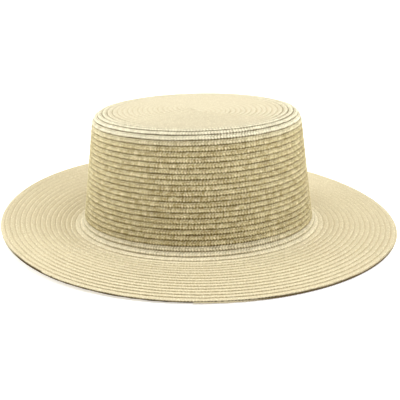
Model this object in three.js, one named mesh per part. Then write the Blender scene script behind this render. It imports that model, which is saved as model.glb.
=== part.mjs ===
// A flat-topped straw hat, sewn from one narrow braid that winds from the middle of the tip to the brim's edge.
// Millimetres, +Z up, the front of the hat towards -Y. It stands as by itself: on the front of its brim's edge
// and on the foot of the crown at the back, with the head hollow open below.
import * as THREE from "three";

// The head hollow, for a head of 57 cm round: outside sizes where the crown meets the brim.
const headHalfWidth = 87.3;
const headHalfLength = 97.8;

// Rows of braid, each counted down or out from its own upper edge.
const sideRows = 18;
const sideRowHeight = 4.0;
const shoulderRows = 4;
const shoulderRowHeight = 4.2;
const brimRows = 18;
const brimRowWidth = 4.05;

// The straw wall. Each row's lower edge laps over the row below it and stands proud by rowLap.
const wallThickness = 1.9;
const rowLap = 0.6;
const seamGap = 0.3;

// Angles in degrees.
const sideTaper = 7.1; // the crown's side, in from upright
const crownShift = -3.1; // the crown's axis, tipped to the front against the foot of the crown
const brimCurl = 6.9; // the brim turns down by this from its foot to its edge
const edgeRoll = 28; // and by this once more at the very edge

// How far the middle of the brim falls below level, in degrees. The front dips and the back turns up.
const brimFall = { front: 6.1, side: -3.9, back: -20.8 };

// The curve from the side to the brim and the rolled edge, both measured along the wall.
const footBend = 16.8;
const rollWidth = 5;

// How finely the shapes are cut.
const pointsRound = 48;
const wallStep = 0.5;
const bendFacets = 5;
const rollFacets = 2;
const brimFacets = 4;

const sideLength = sideRows * sideRowHeight;
const shoulderLength = shoulderRows * shoulderRowHeight;
const brimLength = brimRows * brimRowWidth;
const tipRun = -(sideLength + shoulderLength);
const frontTurn = 1.5 * Math.PI;
const backTurn = 0.5 * Math.PI;
const radians = Math.PI / 180;

function brimFallAt(turn) {
  const mean = (brimFall.front + brimFall.back) / 2;
  const frontToBack = (brimFall.front - brimFall.back) / 2;
  const endsToSides = (brimFall.side - mean) / 2;
  return mean - frontToBack * Math.sin(turn) + endsToSides * (1 + Math.cos(2 * turn));
}

// The wall's slope below level, in radians. run is measured along the wall from the crown line:
// positive out over the brim, negative up the side and over the shoulder.
function slopeAt(turn, run) {
  const sideSlope = 90 - sideTaper;
  if (run < 0) {
    const bend = THREE.MathUtils.smoothstep(-run - sideLength, 0, shoulderLength);
    return sideSlope * (1 - bend) * radians;
  }
  const roll = edgeRoll * THREE.MathUtils.smoothstep(run, brimLength - rollWidth, brimLength);
  const brimSlope = brimFallAt(turn) + brimCurl * (run / brimLength - 0.5) + roll;
  const bend = THREE.MathUtils.smoothstep(run, 0, footBend);
  return THREE.MathUtils.lerp(sideSlope, brimSlope, bend) * radians;
}

// A point of the wall, turn radians round from +X, at run along it and depth in from its outer face.
function wallPoint(turn, run, depth) {
  const steps = Math.ceil(Math.abs(run) / wallStep);
  let out = 0;
  let up = 0;
  for (let i = 0; i < steps; i++) {
    const slope = slopeAt(turn, (run * (i + 0.5)) / steps);
    out += (Math.cos(slope) * run) / steps;
    up -= (Math.sin(slope) * run) / steps;
  }
  const slope = slopeAt(turn, run);
  out -= depth * Math.sin(slope);
  up -= depth * Math.cos(slope);
  return new THREE.Vector3(
    (headHalfWidth + out) * Math.cos(turn),
    (headHalfLength + out) * Math.sin(turn) + up * Math.tan(crownShift * radians),
    up,
  );
}

// The outer face of some rows: each one starts tucked under the last and ends proud of the next.
function rowLine(start, count, width) {
  const line = [];
  for (let row = 0; row < count; row++) {
    line.push({ run: start + row * width, depth: rowLap });
    line.push({ run: start + (row + 1) * width, depth: 0 });
  }
  return line;
}

// The inner face from one run to another, in even facets.
function innerLine(from, to, facets) {
  const line = [];
  for (let i = 0; i <= facets; i++) {
    line.push({ run: from + ((to - from) * i) / facets, depth: wallThickness });
  }
  return line;
}

// One closed body from a section line carried round the head. A wall of two faces that both reach the
// middle is closed there by one point on each face.
function wallBody(line, reachesMiddle) {
  const positions = [];
  const faces = [];
  for (const { run, depth } of line) {
    for (let i = 0; i < pointsRound; i++) {
      positions.push(...wallPoint((2 * Math.PI * i) / pointsRound, run, depth).toArray());
    }
  }
  const rings = line.length;
  const joined = reachesMiddle ? rings - 1 : rings;
  for (let ring = 0; ring < joined; ring++) {
    const upper = ring * pointsRound;
    const lower = ((ring + 1) % rings) * pointsRound;
    for (let i = 0; i < pointsRound; i++) {
      const next = (i + 1) % pointsRound;
      faces.push(upper + i, lower + i, lower + next);
      faces.push(upper + i, lower + next, upper + next);
    }
  }
  if (reachesMiddle) {
    const last = (rings - 1) * pointsRound;
    const outerMiddle = positions.length / 3;
    for (const ring of [0, last]) {
      const height = positions[3 * ring + 2];
      positions.push(0, height * Math.tan(crownShift * radians), height);
    }
    for (let i = 0; i < pointsRound; i++) {
      const next = (i + 1) % pointsRound;
      faces.push(outerMiddle, i, next);
      faces.push(outerMiddle + 1, last + next, last + i);
    }
  }
  const geometry = new THREE.BufferGeometry();
  geometry.setAttribute("position", new THREE.Float32BufferAttribute(positions, 3));
  geometry.setIndex(faces);
  geometry.computeVertexNormals();
  return geometry;
}

function straw(color) {
  return new THREE.MeshStandardMaterial({ color, roughness: 0.78, metalness: 0, flatShading: true });
}

// The crown: flat tip, rounded shoulder and tapered side, hollow and open below.
function makeCrown() {
  const line = [
    { run: tipRun, depth: 0 },
    ...rowLine(tipRun, shoulderRows, shoulderRowHeight),
    ...rowLine(-sideLength, sideRows, sideRowHeight),
    ...innerLine(0, -sideLength, 1),
    ...innerLine(-sideLength, tipRun, bendFacets).slice(1),
  ];
  for (const point of line) {
    if (point.run === 0) {
      point.run = -seamGap / 2;
    }
  }
  const crown = new THREE.Mesh(wallBody(line, true), straw(0xd9cba3));
  crown.name = "crown";
  return crown;
}

// The brim: a broad ring whose foot curves out of the crown's side.
function makeBrim() {
  const line = [
    ...rowLine(0, brimRows, brimRowWidth),
    ...innerLine(brimLength, brimLength - rollWidth, rollFacets),
    ...innerLine(brimLength - rollWidth, footBend, brimFacets).slice(1),
    ...innerLine(footBend, 0, bendFacets).slice(1),
  ];
  for (const point of line) {
    if (point.run === 0) {
      point.run = seamGap / 2;
    }
  }
  const brim = new THREE.Mesh(wallBody(line, false), straw(0xdccfa8));
  brim.name = "brim";
  return brim;
}

// The lean at which the back of the crown's foot and the front of the brim's edge both touch the table.
function restingLean() {
  const edge = wallPoint(frontTurn, brimLength, wallThickness);
  let rise = Infinity;
  for (const { run, depth } of innerLine(footBend, 0, bendFacets)) {
    const foot = wallPoint(backTurn, run, depth);
    rise = Math.min(rise, (foot.z - edge.z) / (foot.y - edge.y));
  }
  return Math.atan(rise);
}

const hat = new THREE.Group();
hat.name = "straw_hat";
hat.add(makeCrown(), makeBrim());
hat.rotation.x = -restingLean();
hat.updateMatrixWorld(true);
const reach = new THREE.Box3().setFromObject(hat, true);
const middle = reach.getCenter(new THREE.Vector3());
hat.position.set(-middle.x, -middle.y, -reach.min.z);
hat.updateMatrixWorld(true);

export default hat;
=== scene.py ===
import math

import bpy
import numpy as np
from mathutils import Matrix, Vector


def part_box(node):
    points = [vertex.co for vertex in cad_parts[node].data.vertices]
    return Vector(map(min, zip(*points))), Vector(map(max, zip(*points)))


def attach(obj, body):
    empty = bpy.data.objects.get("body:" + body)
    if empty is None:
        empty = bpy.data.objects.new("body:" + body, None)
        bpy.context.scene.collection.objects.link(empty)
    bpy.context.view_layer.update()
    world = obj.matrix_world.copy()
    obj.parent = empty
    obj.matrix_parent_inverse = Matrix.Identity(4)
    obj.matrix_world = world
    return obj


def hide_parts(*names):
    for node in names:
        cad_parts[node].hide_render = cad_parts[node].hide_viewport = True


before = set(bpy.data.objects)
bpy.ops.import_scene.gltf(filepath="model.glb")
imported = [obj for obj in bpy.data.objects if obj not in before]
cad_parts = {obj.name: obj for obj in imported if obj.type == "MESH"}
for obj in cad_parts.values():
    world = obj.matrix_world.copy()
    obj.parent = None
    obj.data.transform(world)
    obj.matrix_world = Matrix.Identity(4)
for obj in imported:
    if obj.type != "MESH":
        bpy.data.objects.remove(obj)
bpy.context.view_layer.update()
mm = 0.001

# The hat's wall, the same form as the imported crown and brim, with angles in degrees. Lengths run along the
# wall from the crown line, where the side meets the brim. They are negative up over the crown and positive
# out over the brim.
hatWall = {
    "headHalfWidth": 87.3 * mm,
    "headHalfLength": 97.8 * mm,
    "sideLength": 72.0 * mm,
    "shoulderLength": 16.8 * mm,
    "brimLength": 72.9 * mm,
    "footBend": 16.8 * mm,
    "rollWidth": 5.0 * mm,
    "thickness": 1.9 * mm,
    "sideTaper": 7.1,
    "crownShift": -3.1,
    "brimCurl": 6.9,
    "edgeRoll": 28.0,
    "fallFront": 6.1,
    "fallSide": -3.9,
    "fallBack": -20.8,
    "facetsRound": 48,
    "bendFacets": 5,
}
tipRun = -(hatWall["sideLength"] + hatWall["shoulderLength"])
frontTurn = 1.5 * math.pi
backTurn = 0.5 * math.pi


def smoothPart(value, start, end):
    part = np.clip((value - start) / (end - start), 0, 1)
    return part * part * (3 - 2 * part)


# How far the wall falls below level at a turn round the head and a run along the wall, in radians.
def wallSlope(turn, run):
    ends = (hatWall["fallFront"] + hatWall["fallBack"]) / 2
    tilt = (hatWall["fallFront"] - hatWall["fallBack"]) / 2
    sides = (hatWall["fallSide"] - ends) / 2
    length = hatWall["brimLength"]
    fall = ends - tilt * np.sin(turn) + sides * (1 + np.cos(2 * turn))
    fall = fall + hatWall["brimCurl"] * (run / length - 0.5)
    fall = fall + hatWall["edgeRoll"] * smoothPart(run, length - hatWall["rollWidth"], length)
    upright = 90 - hatWall["sideTaper"]
    brimBend = smoothPart(run, 0, hatWall["footBend"])
    crownBend = smoothPart(-run, hatWall["sideLength"], -tipRun)
    brim = upright + (fall - upright) * brimBend
    crown = upright * (1 - crownBend)
    return np.radians(np.where(run < 0, crown, brim))


# The wall's course is summed once in small steps, and every point is read from that table. It goes on past
# the middle of the tip and past the edge.
wallTable = {
    "turns": 180,
    "step": 0.25 * mm,
    "pastTip": 70 * mm,
    "pastEdge": 3 * mm,
}
firstRun = tipRun - wallTable["pastTip"]
lastRun = hatWall["brimLength"] + wallTable["pastEdge"]
tableRuns = np.arange(firstRun, lastRun, wallTable["step"])
tableTurns = np.linspace(0, 2 * math.pi, wallTable["turns"] + 1)
stepSlope = wallSlope(tableTurns[:, None], tableRuns[None, :] + wallTable["step"] / 2)
tableOut = np.cumsum(np.cos(stepSlope), axis=1) * wallTable["step"]
tableUp = -np.cumsum(np.sin(stepSlope), axis=1) * wallTable["step"]
crownLine = int(round(-firstRun / wallTable["step"])) - 1
tableOut -= tableOut[:, crownLine:crownLine + 1]
tableUp -= tableUp[:, crownLine:crownLine + 1]


def readTable(table, turn, run):
    across = np.mod(turn, 2 * math.pi) / (2 * math.pi) * wallTable["turns"]
    along = np.clip((run - firstRun) / wallTable["step"] - 1, 0, len(tableRuns) - 2)
    i = np.minimum(across.astype(int), wallTable["turns"] - 1)
    j = along.astype(int)
    a = across - i
    b = along - j
    near = table[i, j] * (1 - a) + table[i + 1, j] * a
    far = table[i, j + 1] * (1 - a) + table[i + 1, j + 1] * a
    return near * (1 - b) + far * b


# Points of the wall before the hat leans; depth goes in from the outer face.
def uprightPoint(turn, run, depth):
    turn, run, depth = np.broadcast_arrays(*(np.asarray(part, float) for part in (turn, run, depth)))
    slope = wallSlope(turn, run)
    out = readTable(tableOut, turn, run) - depth * np.sin(slope)
    up = readTable(tableUp, turn, run) - depth * np.cos(slope)
    out = np.maximum(out, -hatWall["headHalfWidth"])
    x = (hatWall["headHalfWidth"] + out) * np.cos(turn)
    y = (hatWall["headHalfLength"] + out) * np.sin(turn) + up * math.tan(math.radians(hatWall["crownShift"]))
    return np.stack([x, y, up], axis=-1)


# The hat leans back until the front of the brim's edge and the foot of the crown both touch the table.
def findLean():
    footRuns = np.linspace(0, hatWall["footBend"], hatWall["bendFacets"] + 1)
    front = uprightPoint(frontTurn, hatWall["brimLength"], hatWall["thickness"])
    foot = uprightPoint(backTurn, footRuns, hatWall["thickness"])
    return math.atan(np.min((foot[:, 2] - front[2]) / (foot[:, 1] - front[1])))


lean = findLean()


def leanBack(points):
    x, y, z = points[..., 0], points[..., 1], points[..., 2]
    back = y * math.cos(lean) + z * math.sin(lean)
    up = z * math.cos(lean) - y * math.sin(lean)
    return np.stack([x, back, up], axis=-1)


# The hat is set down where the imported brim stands.
brimLow, brimHigh = (Vector(corner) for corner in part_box("brim"))
facetTurns = np.linspace(0, 2 * math.pi, hatWall["facetsRound"], endpoint=False)
edgeRing = leanBack(uprightPoint(facetTurns, hatWall["brimLength"], 0))
underRing = leanBack(uprightPoint(facetTurns, hatWall["brimLength"], hatWall["thickness"]))
setDown = np.array([
    0,
    (brimLow.y + brimHigh.y) / 2 - (edgeRing[:, 1].min() + edgeRing[:, 1].max()) / 2,
    brimLow.z - underRing[:, 2].min(),
])
print("lean", round(math.degrees(lean), 3), "set down", setDown)


def wallPoint(turn, run, depth):
    return leanBack(uprightPoint(turn, run, depth)) + setDown


# One braid, wound clockwise from the middle of the tip to the edge, seen from above. A row is named by the
# run of its lower edge, and windingTurn is where that run is a whole number of rows.
winding = {
    "rowWidth": 4.0 * mm,
    "windingTurn": math.radians(-112.9),
    "rowsAtStart": 0.3,  # the first row's lower edge, from the middle of the tip
    "rowsPastEdge": 0.816,  # and the last one's, past the edge of the brim
    "stepsPerTurn": 360,
    "seed": 11,
}
rowWidth = winding["rowWidth"]
tipHalfWidth = hatWall["headHalfWidth"] + float(readTable(tableOut, np.array(0.0), np.array(tipRun)))
middleRun = tipRun - tipHalfWidth
firstEdge = middleRun + winding["rowsAtStart"] * rowWidth
lastEdge = hatWall["brimLength"] + winding["rowsPastEdge"] * rowWidth


def edgeTurn(edge):
    return winding["windingTurn"] - 2 * math.pi * edge / rowWidth


# The length of braid laid down when a row's edge has reached each run.
stepCount = int((lastEdge - firstEdge) / rowWidth * winding["stepsPerTurn"])
edgeSteps = np.linspace(firstEdge, lastEdge, stepCount)
windingPath = uprightPoint(edgeTurn(edgeSteps), edgeSteps - rowWidth / 2, 0)
laidLength = np.concatenate([[0], np.cumsum(np.linalg.norm(np.diff(windingPath, axis=0), axis=1))])
print("braid", round(float(laidLength[-1]), 2), "m")


def lengthAtEdge(edge):
    return float(np.interp(edge, edgeSteps, laidLength))


# Smooth chance values along the braid, the same on every run.
chance = np.random.default_rng(winding["seed"])


def wander(along, spacing):
    knots = np.arange(0, laidLength[-1] + 2 * spacing, spacing)
    return np.interp(along, knots, chance.uniform(-1, 1, len(knots)))


# A chance value given by its size and by the length of braid over which it changes.
def stray(along, given):
    size, spacing = given
    return size * wander(along, spacing)


def deselectAll():
    if bpy.context.object and bpy.context.object.mode != "OBJECT":
        bpy.ops.object.mode_set(mode="OBJECT")
    bpy.ops.object.select_all(action="DESELECT")


def makeActive(piece):
    deselectAll()
    piece.select_set(True)
    bpy.context.view_layer.objects.active = piece


# Moves the chosen vertices, as by hand in edit mode.
def moveVertices(piece, chosen, move):
    makeActive(piece)
    bpy.ops.object.mode_set(mode="EDIT")
    bpy.ops.mesh.select_mode(type="VERT")
    bpy.ops.mesh.select_all(action="DESELECT")
    bpy.ops.object.mode_set(mode="OBJECT")
    for index in chosen:
        piece.data.vertices[index].select = True
    bpy.ops.object.mode_set(mode="EDIT")
    bpy.ops.transform.translate(value=move)
    bpy.ops.object.mode_set(mode="OBJECT")


# The outer face of one strand's length of braid, as lines of points along it, from under the row above to
# the lower edge: across is in rows, lift in mm from the wall's face, ridge in mm each side of that, slant in
# strands back along the braid, and valley the column between two strands. The strands meet in a herringbone
# at the middle.
outerBraid = {
    "strandLength": 2.2 * mm,
    "columns": 3,
    "scallop": 0.085,  # how far a strand reaches out at the lower edge, in rows
    "scallopValley": -1.6,  # a valley there is moved by this times as much, so inwards
    "brimCalm": 0.65,  # the share of the ridges that is gone on the brim
    "brimLow": 0.30,  # and of the row's own relief
    "lines": [
        {"across": -0.25, "lift": -1.30, "ridge": 0.00, "slant": 0.80, "valley": 0},
        {"across": 0.02, "lift": -1.10, "ridge": 0.05, "slant": 0.62, "valley": 0},
        {"across": 0.17, "lift": -0.82, "ridge": 0.16, "slant": 0.45, "valley": 0},
        {"across": 0.33, "lift": -0.36, "ridge": 0.28, "slant": 0.20, "valley": 0},
        {"across": 0.50, "lift": -0.46, "ridge": 0.06, "slant": 0.00, "valley": 0},
        {"across": 0.66, "lift": -0.20, "ridge": 0.28, "slant": 0.18, "valley": 1},
        {"across": 0.86, "lift": -0.06, "ridge": 0.26, "slant": 0.34, "valley": 1},
        {"across": 1.00, "lift": -0.34, "ridge": 0.20, "slant": 0.38, "valley": 1},
        {"across": 0.96, "lift": -1.30, "ridge": 0.00, "slant": 0.38, "valley": 1},
    ],
}
# The inner face. The row below laps over the row above there, so its upper edge shows.
innerBraid = {
    "strandLength": 4.0 * mm,
    "columns": 1,
    "scallop": 0.0,
    "scallopValley": 0.0,
    "brimCalm": 0.0,
    "brimLow": 0.0,
    "lines": [
        {"across": 1.10, "lift": -1.15, "ridge": 0, "slant": 0, "valley": 0},
        {"across": 0.92, "lift": -1.30, "ridge": 0, "slant": 0, "valley": 0},
        {"across": 0.55, "lift": -1.72, "ridge": 0, "slant": 0, "valley": 0},
        {"across": 0.14, "lift": -1.90, "ridge": 0, "slant": 0, "valley": 0},
        {"across": 0.00, "lift": -1.74, "ridge": 0, "slant": 0, "valley": 0},
        {"across": -0.04, "lift": -1.05, "ridge": 0, "slant": 0, "valley": 0},
    ],
}


# One repeat of the braid, modelled flat: X along it, Y across it, Z out of the wall.
def makeRepeat(name, braid):
    lines = braid["lines"]
    length = braid["strandLength"]
    columns = braid["columns"]
    deselectAll()
    bpy.ops.mesh.primitive_grid_add(
        x_subdivisions=columns,
        y_subdivisions=len(lines) - 1,
        size=1,
        location=(length / 2, rowWidth / 2, 0),
    )
    repeat = bpy.context.object
    repeat.name = name
    repeat.scale = (length, rowWidth, 1)
    bpy.ops.object.transform_apply(location=True, rotation=False, scale=True)
    spacing = rowWidth / (len(lines) - 1)
    columnOf = [round(vertex.co.x / length * columns) for vertex in repeat.data.vertices]
    numberOf = [round(vertex.co.y / spacing) for vertex in repeat.data.vertices]
    for number, line in enumerate(lines):
        atEdge = number >= len(lines) - 2  # the lower edge and the lip under it
        for inValley in (False, True):
            chosen = [
                index
                for index, column in enumerate(columnOf)
                if numberOf[index] == number
                and (column % columns == line["valley"] and columns > 1) == inValley
            ]
            if chosen:
                scallop = braid["scallop"] * (braid["scallopValley"] if inValley else 1) if atEdge else 0
                lift = line["lift"] + line["ridge"] * (-1 if inValley else 1)
                across = (line["across"] + scallop) * rowWidth - number * spacing
                moveVertices(repeat, chosen, (-line["slant"] * length, across, lift * mm))
    return repeat


# Copies the repeat along one straight run of braid.
def drawOut(name, repeat, length, count):
    makeActive(repeat)
    bpy.ops.object.duplicate()
    piece = bpy.context.object
    piece.name = name
    piece.data.name = name
    array = piece.modifiers.new("rows", "ARRAY")
    array.use_relative_offset = False
    array.use_constant_offset = True
    array.constant_offset_displace = (length, 0, 0)
    array.count = count
    array.use_merge_vertices = True
    array.merge_threshold = 0.01 * mm
    bpy.ops.object.modifier_apply(modifier=array.name)
    return piece


# How the braid settles on the hat. It is pressed flat on the tip and calmer on the brim than on the side, and
# no strand or row is quite even. A span is where a change begins and ends, as the run of a row's lower edge.
settling = {
    "pressSpan": (-2.0 * rowWidth, 2.0 * rowWidth),  # in from the edge of the tip
    "brimSpan": (rowWidth, 6 * rowWidth),
    "hiddenLift": -1.2 * mm,  # points this low are out of sight
    "lipAcross": 0.93,  # in rows across the braid, as are the next two
    "edgeAcross": 0.9,
    "startAcross": 0.6,
    "startSpan": (firstEdge + 0.8 * rowWidth, firstEdge + 1.1 * rowWidth),
    "startLift": -0.3 * mm,
    "closedEdge": firstEdge + 1.3 * rowWidth,  # up to here the braid's upper edge is drawn in to the middle
    "furthestRun": hatWall["brimLength"] + 0.1 * mm,
    "strandSpacing": 1.1 * mm,
    "strandRise": 0.10,  # in mm
    "pressDrop": 0.05,  # in mm
    "pressRidge": 0.8,  # the share of the ridges that is gone on the tip
    "pressRelief": 0.7,  # and of the row's own relief
    "pressScallop": 0.7,  # and of the scallops
    "fineStray": (0.03, 1.7 * mm),  # the lower edge, in rows
    "broadStray": (0.055, 2.9 * mm),
    "brimStray": 0.6,  # the share of the broad stray that is gone on the brim
    "slowSway": (0.10 * mm, 23 * mm),  # the whole braid, to and fro along the wall
    "quickSway": (0.07 * mm, 5 * mm),
}

# How the straw's tone changes over the hat, with spans as above. The dark line is painted shade, the shaded
# underside of the rolled edge, on the lower part of the last row. It is plain where the edge faces the turn
# given below and fades out to both sides.
toning = {
    "gapStray": (0.22, 2.6 * mm),
    "gapDepth": 0.85,  # in mm below the wall's face, where the gap between rows is darkened with painted shade
    "gapSpan": 0.62,  # in mm above that, where it is straw again
    "openSpan": (rowWidth, 4 * rowWidth),  # on the brim, as on the tip, the gap's painted shade is pale too
    # the paler straw, painted light where the tip and the brim face up, begins here, counted up the crown,
    # and here on the brim
    "topSpan": (hatWall["sideLength"] - 0.8 * rowWidth, hatWall["sideLength"] + 1.2 * rowWidth),
    "creaseSpan": (0.87 * rowWidth, 0.97 * rowWidth),
    "footSpan": (3 * rowWidth, 6 * rowWidth),
    "mean": 0.5,  # tones go from 0, dark, to 1, light
    # pressTone and brimTone tone the tip and the brim down, and footTone is painted light, a lighter foot of
    # the crown
    "pressTone": 0.8,
    "footTone": 0.52,
    "brimTone": 0.45,
    "strandTone": 0.50,
    "slowTone": (0.12, 90 * mm),
    "pressEven": 0.6,  # the share of the change from strand to strand that is gone on the tip
    "brimEven": 0.5,  # and on the brim
    # where the dark line of painted edge shade lies
    "edgeShadeTurn": math.radians(-124.7),
    "edgeShadeSpan": (0.25, 0.6),  # as the cosine of the turn away from the one above
    "edgeShadeRun": hatWall["brimLength"] - 0.8 * mm,
    "edgeShadeAcross": 0.1,
    "lipLift": -0.9 * mm,
    "lipAcross": 0.9,
    "lipEdge": hatWall["brimLength"] - 0.2 * rowWidth,
    "endSpan": (lastEdge - 0.06 * rowWidth, lastEdge - 0.02 * rowWidth),
    "endFade": 0.75,  # the share of the painted edge shade that is gone at the end of the braid
}


# Lays a run of braid on the wall, from one row's edge to another's. The vertices are moved in numpy, because
# no modifier holds a spiral to the wall's changing slope, and a Python loop over all of them would be slow.
def layBraid(name, repeat, braid, fromEdge, toEdge):
    length = braid["strandLength"]
    start = math.ceil(lengthAtEdge(fromEdge) / length)
    count = math.ceil(lengthAtEdge(toEdge) / length) - start
    piece = drawOut(name, repeat, length, count)
    flat = np.empty(len(piece.data.vertices) * 3)
    piece.data.vertices.foreach_get("co", flat)
    flat = flat.reshape(-1, 3)
    along = flat[:, 0] + start * length
    across = flat[:, 1] / rowWidth
    lift = flat[:, 2]
    edge = np.interp(along, laidLength, edgeSteps)
    pressed = smoothPart(tipRun - edge, *settling["pressSpan"])
    onBrim = smoothPart(edge, *settling["brimSpan"])

    # the height of the strands
    upperStrands = wander(along, settling["strandSpacing"])
    lowerStrands = wander(along, settling["strandSpacing"])
    strandLift = np.where(across < 0.5, upperStrands, lowerStrands)
    smoothed = braid["brimCalm"] * onBrim
    lines = sorted(braid["lines"], key=lambda line: line["across"])
    level = np.interp(across, [line["across"] for line in lines], [line["lift"] * mm for line in lines])
    ridge = (lift - level) * (1 - settling["pressRidge"] * pressed) * (1 - smoothed)
    # how far a point stands out of the gaps between rows and strands; points low in them get painted shade
    gapStray = stray(along, toning["gapStray"]) * (1 - onBrim)
    raised = np.clip(((level + ridge) / mm + toning["gapDepth"]) / toning["gapSpan"] + gapStray, 0, 1)
    bump = (settling["strandRise"] * (1 - pressed) * strandLift - settling["pressDrop"] * pressed) * mm
    lowered = level * (1 - settling["pressRelief"] * pressed) * (1 - braid["brimLow"] * onBrim)
    shown = (lift > settling["hiddenLift"]) & (across < settling["lipAcross"])
    lift = np.where(shown, lowered + ridge + bump, lift)

    # the first turn has no row above it, so its outer face lies flat up to the middle
    firstTurn = (1 - smoothPart(edge, *settling["startSpan"])) * (across < settling["startAcross"])
    firstTurn = firstTurn * (braid["columns"] > 1)
    lift = lift + (settling["startLift"] - lift) * firstTurn
    raised = np.maximum(raised, firstTurn)

    # the lower edge, and the place of every point on the wall
    trimmed = (1 - across) * np.maximum(smoothed, settling["pressScallop"] * pressed)
    trimmed = trimmed + stray(along, settling["fineStray"])
    trimmed = trimmed + stray(along, settling["broadStray"]) * (1 - settling["brimStray"] * onBrim)
    across = across + np.where(across > settling["edgeAcross"], trimmed, 0)
    sway = stray(along, settling["slowSway"]) + stray(along, settling["quickSway"])
    width = np.minimum(rowWidth, hatWall["brimLength"] - (edge - rowWidth))
    run = edge - rowWidth + across * width + sway
    run = np.clip(run, middleRun, settling["furthestRun"])
    run = np.where((across < 0) & (edge < settling["closedEdge"]), middleRun, run)
    points = wallPoint(edgeTurn(edge), run, -lift)
    piece.data.vertices.foreach_set("co", points.ravel())
    loops = np.empty(len(piece.data.loops), dtype=np.int32)
    piece.data.loops.foreach_get("vertex_index", loops)
    braidMap = piece.data.uv_layers.new(name="braid")
    placed = np.stack([along, across * rowWidth], axis=-1)[loops]
    braidMap.data.foreach_set("uv", placed.ravel())

    # the tones: painted shade in the gaps and under the rolled edge, painted light on the tip, the brim and
    # the foot
    toneSpread = (1 - toning["pressEven"] * pressed) * (1 - toning["brimEven"] * onBrim)
    # the dark line of painted shade under the rolled edge, plain round one turn and fading to both sides
    endFade = 1 - toning["endFade"] * smoothPart(edge, *toning["endSpan"])
    underLip = (lift < toning["lipLift"]) & (across > toning["lipAcross"]) & (edge > toning["lipEdge"])
    atEdge = (run > toning["edgeShadeRun"]) & (across > toning["edgeShadeAcross"]) | underLip
    facingEdgeShade = smoothPart(np.cos(edgeTurn(edge) - toning["edgeShadeTurn"]), *toning["edgeShadeSpan"])
    # painted light: the pale, lit straw on the tip and the brim, and a lighter foot of the crown
    belowCrease = smoothPart(edge, *toning["creaseSpan"])
    atFoot = 1 - smoothPart(edge, *toning["footSpan"])
    onTop = smoothPart(-edge, *toning["topSpan"])
    toneMean = toning["mean"] - toning["pressTone"] * pressed
    toneMean = toneMean + belowCrease * (toning["footTone"] * atFoot - toning["brimTone"])
    toneChange = toning["strandTone"] * strandLift + stray(along, toning["slowTone"])
    values = {
        "strandTone": toneMean + toneChange * toneSpread,
        "raised": raised,
        "paintedLight": np.maximum(onTop, belowCrease),
        "open": np.maximum(pressed, smoothPart(edge, *toning["openSpan"])),
        "edgeShade": atEdge * endFade * facingEdgeShade,
    }
    for label, value in values.items():
        attribute = piece.data.attributes.new(label, "FLOAT", "POINT")
        attribute.data.foreach_set("value", value.astype(np.float32))
    piece.data.update()
    makeActive(piece)
    bpy.ops.object.shade_smooth()
    print(name, count, "repeats", len(piece.data.polygons) * 2, "triangles")
    return piece


outerRepeat = makeRepeat("outerRepeat", outerBraid)
innerRepeat = makeRepeat("innerRepeat", innerBraid)
print("repeats modelled")

# Each piece holds some rows of the winding, counted from the crown line.
pieces = [
    {"name": "tipBraid", "node": "crown", "from": None, "to": -22.2},
    {"name": "shoulderBraid", "node": "crown", "from": -22.2, "to": -12},
    {"name": "sideBraid", "node": "crown", "from": -12, "to": 0},
    {"name": "footBraid", "node": "brim", "from": 0, "to": 7},
    {"name": "brimBraid", "node": "brim", "from": 7, "to": 13},
    {"name": "edgeBraid", "node": "brim", "from": 13, "to": None},
]


# Shader sums written as Python: a Wire stands for a socket, and each operator adds a Math node.
class Wire:
    def __init__(self, paint, socket):
        self.paint = paint
        self.socket = socket

    def mathNode(self, operation, first, second):
        return self.paint.node("ShaderNodeMath", {"operation": operation}, {0: first, 1: second})

    def __add__(self, other):
        return self.mathNode("ADD", self, other)

    def __sub__(self, other):
        return self.mathNode("SUBTRACT", self, other)

    def __rsub__(self, other):
        return self.mathNode("SUBTRACT", other, self)

    def __mul__(self, other):
        return self.mathNode("MULTIPLY", self, other)

    __radd__ = __add__
    __rmul__ = __mul__


class Paint:
    def __init__(self, name):
        self.material = bpy.data.materials.new(name)
        self.material.use_nodes = True
        self.tree = self.material.node_tree
        self.shader = self.tree.nodes["Principled BSDF"]

    def node(self, kind, settings, inputs, output=0):
        made = self.tree.nodes.new(kind)
        for setting, value in settings.items():
            setattr(made, setting, value)
        self.feed(made, inputs)
        return Wire(self, made.outputs[output])

    def feed(self, made, inputs):
        for name, value in inputs.items():
            if isinstance(value, Wire):
                self.tree.links.new(value.socket, made.inputs[name])
            else:
                made.inputs[name].default_value = value

    def mix(self, part, low, high):
        # a Mix node's colours are its inputs 6 and 7 and its output 2
        settings = {"data_type": "RGBA", "clamp_factor": True}
        return self.node("ShaderNodeMix", settings, {0: part, 6: low, 7: high}, 2)

    def vary(self, label):
        return self.node("ShaderNodeAttribute", {"attribute_name": label}, {}, "Fac")

    # noise in the flat of the braid, finer along it or across it as the scales say
    def noise(self, along, across, scales, detail):
        place = self.node("ShaderNodeCombineXYZ", {}, {0: along * scales[0], 1: across * scales[1], 2: 0.0})
        inputs = {"Vector": place, "Scale": 1.0, "Detail": detail}
        return self.node("ShaderNodeTexNoise", {"noise_dimensions": "2D"}, inputs, "Fac")


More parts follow.
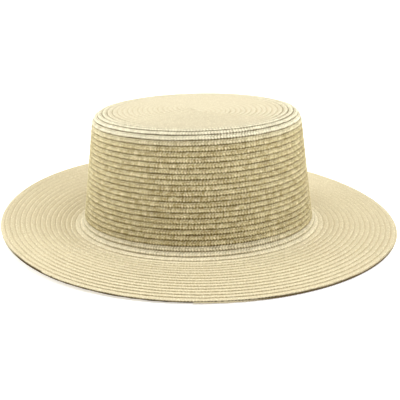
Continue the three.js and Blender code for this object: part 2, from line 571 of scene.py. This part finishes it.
# Straw from dark to light. The pale pair is for the tip and the brim, a lit copy painted light where they
# face up; the other one, the shaded copy, is for the side.
strawLook = {
    "dark": (0.355, 0.27, 0.105, 1),
    "light": (0.79, 0.69, 0.425, 1),
    "darkPale": (0.61, 0.535, 0.37, 1),
    "lightPale": (0.93, 0.865, 0.64, 1),
    # painted shade in the gaps between rows and strands, paler on the brim and the tip
    "gapShade": (0.12, 0.085, 0.03, 1),
    "gapShadeOpen": (0.58, 0.49, 0.32, 1),
    # painted shade for the dark line under the rolled edge
    "edgeShade": (0.08, 0.05, 0.014, 1),
    "roughness": 0.72,
    "specular": 0.25,
    "slant": 0.75,  # how far the strands run along the braid for each step across it
    "fibreScales": (5200, 900),  # in each metre along and across
    "fibreDetail": 2.0,
    "fleckScales": (1100, 1200),
    "fleckDetail": 3.0,
    "strandShare": 0.6,
    "fleckShare": 2.8,
    "fibreShare": 0.3,
    "toneShift": 1.4,
    "fibreDepth": 0.12,  # in mm
    "innerStrand": 2.05 * mm,
    "innerFibres": 0.3,
    "innerDepth": 0.22,  # in mm
}
# The brim's pale straw, painted light like the tip's, is a little deeper than the tip's. The inner faces have
# it too.
brimLook = dict(strawLook, darkPale=(0.57, 0.485, 0.30, 1), lightPale=(0.89, 0.80, 0.575, 1))


def strawPaint(name, look, innerFace):
    paint = Paint(name)
    place = paint.node("ShaderNodeUVMap", {"uv_map": "braid"}, {})
    along = paint.node("ShaderNodeSeparateXYZ", {}, {0: place}, "X")
    across = paint.node("ShaderNodeSeparateXYZ", {}, {0: place}, "Y")
    # the share of the pale pair, painted light where the tip and the brim face up
    paintedLight = paint.vary("paintedLight")
    # the fibres follow the strands, which slant both ways from the middle of the row
    fold = paint.node("ShaderNodeMath", {"operation": "ABSOLUTE"}, {0: across - rowWidth / 2})
    slanted = along + fold * look["slant"]
    fibres = paint.noise(slanted, across, look["fibreScales"], look["fibreDetail"])
    flecks = paint.noise(slanted, across, look["fleckScales"], look["fleckDetail"])
    tone = paint.vary("strandTone") * look["strandShare"] + flecks * look["fleckShare"]
    tone = tone + fibres * look["fibreShare"] - look["toneShift"]
    dark = paint.mix(paintedLight, look["dark"], look["darkPale"])
    light = paint.mix(paintedLight, look["light"], look["lightPale"])
    # painted shade in the gaps between rows and between strands
    gapShade = paint.mix(paint.vary("open"), look["gapShade"], look["gapShadeOpen"])
    shaded = paint.mix(paint.vary("raised"), gapShade, paint.mix(tone, dark, light))
    # painted shade: the dark line under the rolled edge
    colour = paint.mix(paint.vary("edgeShade"), shaded, look["edgeShade"])
    height = fibres
    depth = look["fibreDepth"]
    if innerFace:
        wave = slanted * (2 * math.pi / look["innerStrand"])
        height = fibres * look["innerFibres"] + paint.node("ShaderNodeMath", {"operation": "SINE"}, {0: wave})
        depth = look["innerDepth"]
    bump = paint.node("ShaderNodeBump", {}, {"Strength": 1.0, "Distance": depth * mm, "Height": height})
    paint.feed(paint.shader, {
        "Base Color": colour,
        "Roughness": look["roughness"],
        "Specular IOR Level": look["specular"],
        "Normal": bump,
    })
    return paint.material


outerStraw = {
    "crown": strawPaint("crownStraw", strawLook, False),
    "brim": strawPaint("brimStraw", brimLook, False),
}
innerStraw = strawPaint("innerStraw", brimLook, True)
print("straw painted")


def finishPiece(piece, material, node):
    piece.data.materials.clear()
    piece.data.materials.append(material)
    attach(piece, "root")
    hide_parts(node)


def edgeRun(rows, atEnd):
    return atEnd if rows is None else rows * rowWidth


for part in pieces:
    start = edgeRun(part["from"], firstEdge)
    end = edgeRun(part["to"], lastEdge)
    braid = layBraid(part["name"], outerRepeat, outerBraid, start, end)
    finishPiece(braid, outerStraw[part["node"]], part["node"])
finishPiece(layBraid("crownInside", innerRepeat, innerBraid, firstEdge, 0), innerStraw, "crown")
finishPiece(layBraid("brimUnderside", innerRepeat, innerBraid, 0, lastEdge), innerStraw, "brim")
for spare in (outerRepeat, innerRepeat):
    bpy.data.objects.remove(spare)

# The studio: a pale floor, soft boxes and the camera at the photograph's angle.
studio = {
    "floorSize": 12.0,
    "floorColour": (0.93, 0.93, 0.93, 1),
    "floorRoughness": 0.9,
    "glow": 0.85,
    "glowFrom": 0.08,
    "glowTo": 0.22,
    "ambient": 0.16,
    "ambientColour": (1.0, 0.89, 0.64, 1),
    "lampTarget": (0, 0, 0.05),
}
deselectAll()
bpy.ops.mesh.primitive_plane_add(size=studio["floorSize"], location=(0, 0, 0))
floor = bpy.context.object
floor.name = "floor"
floorPaint = Paint("paleFloor")
# beyond the hat the floor glows softly, so it stays as pale as the sweep of a studio
floorPlace = floorPaint.node("ShaderNodeTexCoord", {}, {}, "Object")
reach = floorPaint.node("ShaderNodeVectorMath", {"operation": "LENGTH"}, {0: floorPlace}, "Value")
glow = floorPaint.node(
    "ShaderNodeMapRange",
    {"interpolation_type": "SMOOTHSTEP"},
    {"Value": reach, "From Min": studio["glowFrom"], "From Max": studio["glowTo"]},
)
floorPaint.feed(floorPaint.shader, {
    "Base Color": studio["floorColour"],
    "Roughness": studio["floorRoughness"],
    "Emission Color": floorPaint.mix(glow, (0, 0, 0, 1), (1, 1, 1, 1)),
    "Emission Strength": studio["glow"],
})
floor.data.materials.append(floorPaint.material)

world = bpy.data.worlds.new("studioLight")
world.use_nodes = True
world.node_tree.nodes["Background"].inputs["Color"].default_value = studio["ambientColour"]
world.node_tree.nodes["Background"].inputs["Strength"].default_value = studio["ambient"]
bpy.context.scene.world = world

# Each soft box stands off the middle of the floor: to the camera's right, away from the camera, and up.
softBoxes = [
    {
        "name": "topBox", "right": 0.08, "away": -0.10, "up": 1.5,
        "size": 1.5, "power": 30.5, "colour": (0.95, 0.97, 1.0),
    },
    {
        "name": "leftBox", "right": -1.4, "away": 0.15, "up": 0.6,
        "size": 0.8, "power": 17.6, "colour": (0.89, 0.945, 1.0),
    },
    {
        "name": "rightBox", "right": 1.3, "away": -0.45, "up": 0.6,
        "size": 0.8, "power": 11.2, "colour": (0.89, 0.945, 1.0),
    },
]

cameraView = {
    "azimuth": -34.73,
    "elevation": 18.2,
    "roll": -1.52,
    "distance": 0.737,
    "target": (-0.0022, -0.00714, 0.01642),
    "lens": 83.0,
    "shiftPixels": 7.47,  # of a picture 400 wide
    "picturePixels": 400,
}
azimuth = math.radians(cameraView["azimuth"])
elevation = math.radians(cameraView["elevation"])
towards = Vector((
    math.sin(azimuth) * math.cos(elevation),
    -math.cos(azimuth) * math.cos(elevation),
    math.sin(elevation),
))
cameraData = bpy.data.cameras.new("camera")
cameraData.lens = cameraView["lens"]
cameraData.shift_y = cameraView["shiftPixels"] / cameraView["picturePixels"]
camera = bpy.data.objects.new("camera", cameraData)
bpy.context.collection.objects.link(camera)
camera.location = Vector(cameraView["target"]) + towards * cameraView["distance"]
levelView = (-towards).to_track_quat("-Z", "Y").to_matrix().to_4x4()
camera.rotation_euler = (levelView @ Matrix.Rotation(math.radians(cameraView["roll"]), 4, "Z")).to_euler()
bpy.context.scene.camera = camera
right = Vector((math.cos(azimuth), math.sin(azimuth), 0))
away = Vector((-math.sin(azimuth), math.cos(azimuth), 0))
for box in softBoxes:
    light = bpy.data.lights.new(box["name"], "AREA")
    light.size = box["size"]
    light.energy = box["power"]
    light.color = box["colour"]
    lamp = bpy.data.objects.new(box["name"], light)
    bpy.context.collection.objects.link(lamp)
    lamp.location = right * box["right"] + away * box["away"] + Vector((0, 0, box["up"]))
    lamp.rotation_euler = (Vector(studio["lampTarget"]) - lamp.location).to_track_quat("-Z", "Y").to_euler()
bpy.context.scene.view_settings.view_transform = "Standard"
print("studio set", len(softBoxes), "soft boxes")
